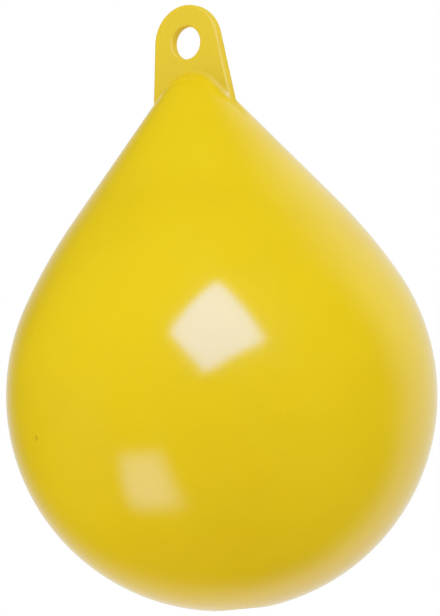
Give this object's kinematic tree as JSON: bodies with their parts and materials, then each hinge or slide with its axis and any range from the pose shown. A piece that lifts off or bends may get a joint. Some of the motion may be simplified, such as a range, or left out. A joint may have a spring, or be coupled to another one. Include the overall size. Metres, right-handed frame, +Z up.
{
  "type": "anchor buoy",
  "caption": "Foam-filled moulded teardrop buoy with a ball-shaped lower half, a conical upper half and a flat rope eye at its nose.",
  "frame": {"origin": "centre of the rope eye, halfway through the lug", "axes": "+Z up the float's axis, from its round end to the eye; +Y through the eye; +X along the flat of the lug"},
  "size_m": [0.22, 0.22, 0.3123],
  "materials": {
    "float_plastic": "glossy moulded polyethylene",
    "lug_plastic": "glossy moulded polyethylene",
    "plug_plastic": "satin moulded polyethylene"
  },
  "bodies": {
    "root": {"float_body": "float_plastic", "eye_lug": "lug_plastic", "filler_plug": "plug_plastic"}
  },
  "joints": []
}
